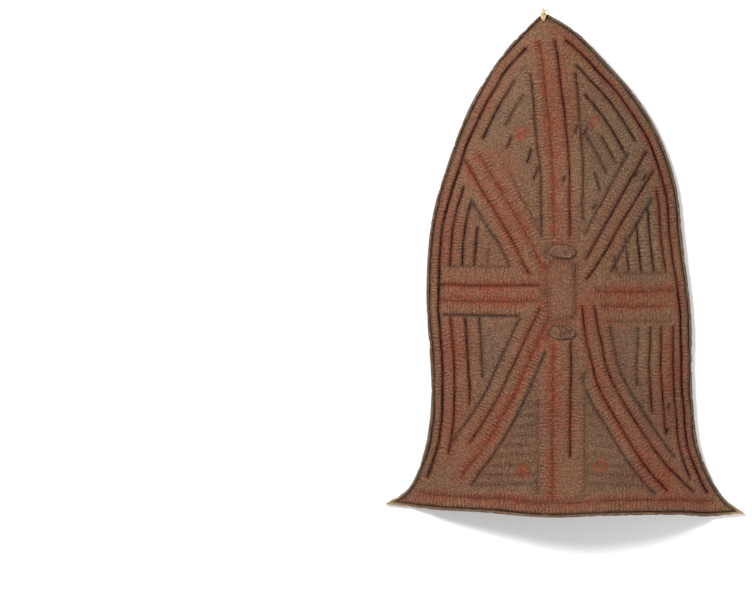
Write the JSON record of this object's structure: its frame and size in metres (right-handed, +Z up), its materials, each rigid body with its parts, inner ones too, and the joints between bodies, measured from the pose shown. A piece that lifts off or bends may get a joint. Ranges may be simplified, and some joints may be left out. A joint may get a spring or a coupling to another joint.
{
  "type": "hide shield",
  "caption": "Tall hide shield with a pointed head, flared foot corners, pressed rolls, two bridging straps, a back grip and a head tie.",
  "frame": {"origin": "on the floor, under the middle of the bounding box, with the shield lying on its back edge", "axes": "+Y towards the pointed head, +X to the right as seen from the embossed face, +Z up out of the face"},
  "size_m": [0.807, 1.1438, 0.1162],
  "materials": {
    "hide": "matt",
    "strap": "matt",
    "grip": "worn satin",
    "tie": "matt"
  },
  "bodies": {
    "root": {"hide": "hide", "upper_strap": "strap", "lower_strap": "strap", "hand_grip": "grip", "head_tie": "tie"}
  },
  "joints": []
}
